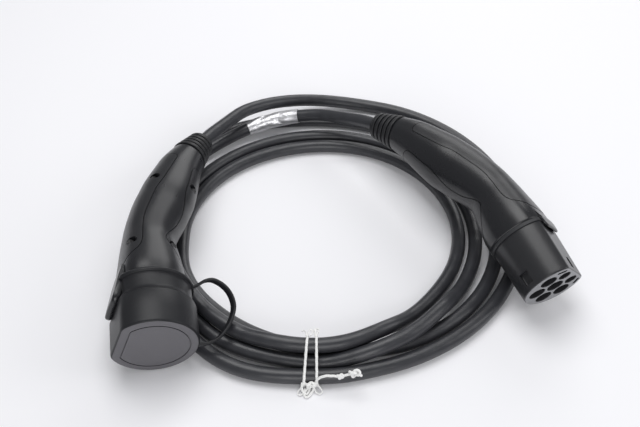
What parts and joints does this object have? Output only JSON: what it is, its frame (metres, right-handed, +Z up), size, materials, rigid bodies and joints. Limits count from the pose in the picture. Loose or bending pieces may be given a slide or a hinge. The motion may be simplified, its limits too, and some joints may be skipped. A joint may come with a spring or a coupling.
{
  "type": "ev charging cable",
  "caption": "Coiled vehicle charging cable with a curved connector at one end and a matching plug under a tethered rubber cap at the other, tied with string.",
  "frame": {"origin": "on the surface the cable lies on, under the middle of the box round the two handsets", "axes": "+X from the capped plug to the connector, +Y away from the viewer of the picture, +Z up"},
  "size_m": [0.3888, 0.3667, 0.0808],
  "materials": {
    "shell": "fine moulded grain, soft sheen",
    "panel": "soft moulded grain",
    "front": "moulded, smooth",
    "insert": "moulded",
    "seal": "smooth",
    "inner_plastic": "moulded, natural colour",
    "contact": "silver plated",
    "resistor": "lacquered",
    "core": "insulation, smooth",
    "boot": "ribbed, matte",
    "screw": "zinc plated, dark in its hole",
    "cap": "matte, lighter worn face",
    "foil": "crinkled foil",
    "string": "twisted white string",
    "cable": "smooth jacket with a soft sheen"
  },
  "bodies": {
    "root": {"connector_shell_left": "shell", "connector_shell_right": "shell", "connector_spine_cover": "panel", "connector_grip_pad": "panel", "connector_nose": "front", "connector_seal": "seal", "connector_contact_carrier": "inner_plastic", "connector_contact_pe": "contact", "connector_contact_l1": "contact", "connector_contact_l2": "contact", "connector_contact_l3": "contact", "connector_contact_n": "contact", "connector_contact_cp": "contact", "connector_contact_pp": "contact", "connector_coding_resistor": "resistor", "connector_cores": "core", "connector_cable_clamp": "inner_plastic", "connector_boot": "boot", "connector_screws": "screw", "plug_shell_left": "shell", "plug_shell_right": "shell", "plug_spine_cover": "panel", "plug_grip_pad": "panel", "plug_sleeve": "front", "plug_insert": "insert", "plug_contact_carrier": "inner_plastic", "plug_pin_pe": "contact", "plug_pin_l1": "contact", "plug_pin_l2": "contact", "plug_pin_l3": "contact", "plug_pin_n": "contact", "plug_pin_cp": "contact", "plug_pin_pp": "contact", "plug_coding_resistor": "resistor", "plug_cores": "core", "plug_cable_clamp": "inner_plastic", "plug_boot": "boot", "plug_screws": "screw", "plug_cap": "cap", "cable_coil": "cable", "cable_lead_connector": "cable", "cable_lead_plug": "cable", "cable_label": "foil", "coil_tie": "string"}
  },
  "joints": []
}
